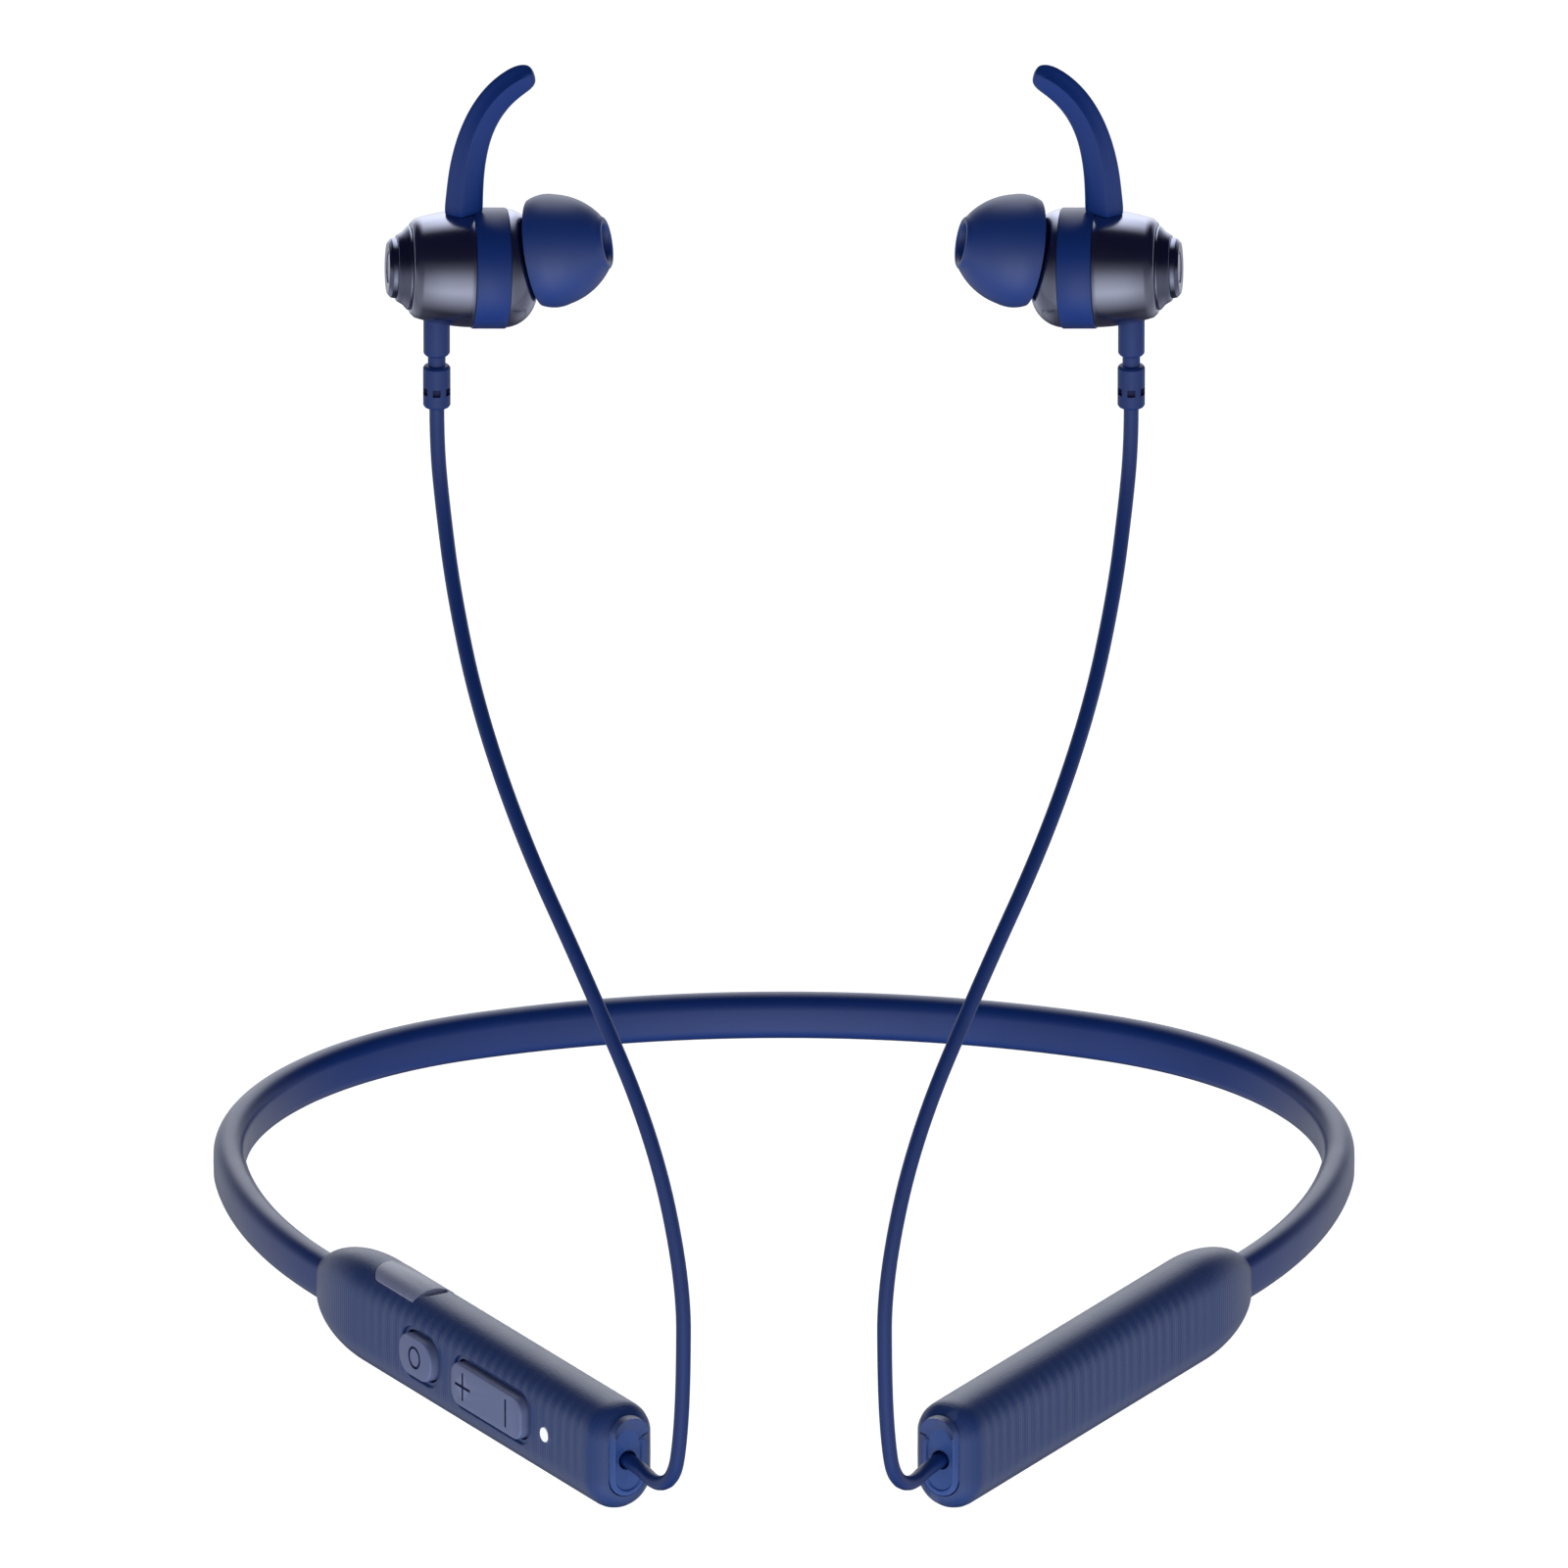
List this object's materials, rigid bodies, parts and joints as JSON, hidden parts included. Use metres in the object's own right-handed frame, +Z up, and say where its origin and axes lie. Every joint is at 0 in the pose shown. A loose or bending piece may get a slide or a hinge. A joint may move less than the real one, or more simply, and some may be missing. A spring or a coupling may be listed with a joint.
{
  "type": "neckband earphones",
  "caption": "Flexible neckband with a pod at each end, controls on one and a battery in the other, and corded magnetic ear buds with soft tips and wings.",
  "frame": {"origin": "middle of the neckband's inner face at the back of the neck", "axes": "+Z up, the pods towards -Y, the wearer's right side and the control pod at -X"},
  "size_m": [0.131, 0.1598, 0.1617],
  "materials": {
    "band_silicone": "satin",
    "pod_plastic": "fine ribbed matte",
    "control_plastic": "satin",
    "cap_rubber": "satin",
    "port_cover_rubber": "satin",
    "bud_metal": "polished anodised",
    "bud_trim": "polished anodised",
    "tip_silicone": "soft matte",
    "wing_silicone": "soft matte",
    "stem_rubber": "matte",
    "cord_jacket": "satin",
    "spring_steel": "drawn",
    "copper_lead": "enamelled copper",
    "circuit_board": "solder mask",
    "black_components": "moulded",
    "ceramic": "fired ceramic",
    "tinned_shield": "tinned",
    "light_white": "clear diffuser",
    "socket_steel": "nickel plated",
    "battery_foil": "laminated foil",
    "magnet_nickel": "nickel plated",
    "driver_plastic": "moulded",
    "diaphragm_film": "clear film",
    "mesh_steel": "woven"
  },
  "bodies": {
    "neckband": {"battery_cell": "battery_foil", "battery_pod_cover": "pod_plastic", "battery_pod_shell": "pod_plastic", "chip_antenna": "ceramic", "control_pod_cover": "pod_plastic", "control_pod_shell": "pod_plastic", "left_back_collar": "bud_trim", "left_back_plate": "bud_trim", "left_cord": "cord_jacket", "left_cord_anchor": "cap_rubber", "left_cord_stem": "stem_rubber", "left_diaphragm": "diaphragm_film", "left_driver_frame": "driver_plastic", "left_driver_magnet": "magnet_nickel", "left_end_cap": "cap_rubber", "left_front_shell": "bud_metal", "left_nozzle_mesh": "mesh_steel", "left_rear_shell": "bud_metal", "left_snap_magnet": "magnet_nickel", "left_strain_relief": "stem_rubber", "left_voice_coil": "copper_lead", "main_board": "circuit_board", "memory_wire": "spring_steel", "microphone": "tinned_shield", "neckband_lead": "copper_lead", "neckband_sleeve": "band_silicone", "protection_board": "circuit_board", "radio_module": "tinned_shield", "right_back_collar": "bud_trim", "right_back_plate": "bud_trim", "right_cord": "cord_jacket", "right_cord_anchor": "cap_rubber", "right_cord_stem": "stem_rubber", "right_diaphragm": "diaphragm_film", "right_driver_frame": "driver_plastic", "right_driver_magnet": "magnet_nickel", "right_end_cap": "cap_rubber", "right_front_shell": "bud_metal", "right_nozzle_mesh": "mesh_steel", "right_rear_shell": "bud_metal", "right_snap_magnet": "magnet_nickel", "right_strain_relief": "stem_rubber", "right_voice_coil": "copper_lead", "status_led": "light_white", "status_light_pipe": "light_white", "tact_switches": "black_components", "usb_contact_tongue": "black_components", "usb_socket": "socket_steel"},
    "multifunction_button": {"multifunction_button": "control_plastic"},
    "volume_rocker": {"volume_rocker": "control_plastic"},
    "usb_port_cover": {"usb_port_cover": "port_cover_rubber"},
    "right_ear_tip": {"right_ear_tip": "tip_silicone"},
    "left_ear_tip": {"left_ear_tip": "tip_silicone"},
    "right_wing": {"right_wing": "wing_silicone"},
    "left_wing": {"left_wing": "wing_silicone"}
  },
  "joints": [
    {"name": "button_press", "type": "slide", "parent": "neckband", "child": "multifunction_button", "axis": [0.8634, 0.5045, 0], "range_m": [0, 0.0004], "stiffness_N_per_m": 400, "springref_m": -0.0005},
    {"name": "volume_rock", "type": "hinge", "parent": "neckband", "child": "volume_rocker", "pos_m": [-0.03223, -0.12444, 0.00025], "axis": [0, 0, 1], "range_deg": [-2.5, 2.5], "stiffness_Nm_per_rad": 0.02},
    {"name": "port_cover_hinge", "type": "hinge", "parent": "neckband", "child": "usb_port_cover", "pos_m": [-0.04507, -0.09671, 0.00642], "axis": [-0.8634, -0.5045, 0], "range_deg": [0, 90]},
    {"name": "right_tip_pull", "type": "slide", "parent": "neckband", "child": "right_ear_tip", "axis": [0.9662, -0.156, 0.205], "range_m": [0, 0.008]},
    {"name": "left_tip_pull", "type": "slide", "parent": "neckband", "child": "left_ear_tip", "axis": [-0.9662, -0.156, 0.205], "range_m": [0, 0.008]},
    {"name": "right_wing_turn", "type": "hinge", "parent": "neckband", "child": "right_wing", "pos_m": [-0.03333, -0.1102, 0.1311], "axis": [0.9936, 0.106, -0.039], "range_deg": [-20, 20]},
    {"name": "left_wing_turn", "type": "hinge", "parent": "neckband", "child": "left_wing", "pos_m": [0.03333, -0.1102, 0.1311], "axis": [-0.9936, 0.106, -0.039], "range_deg": [-20, 20]}
  ]
}
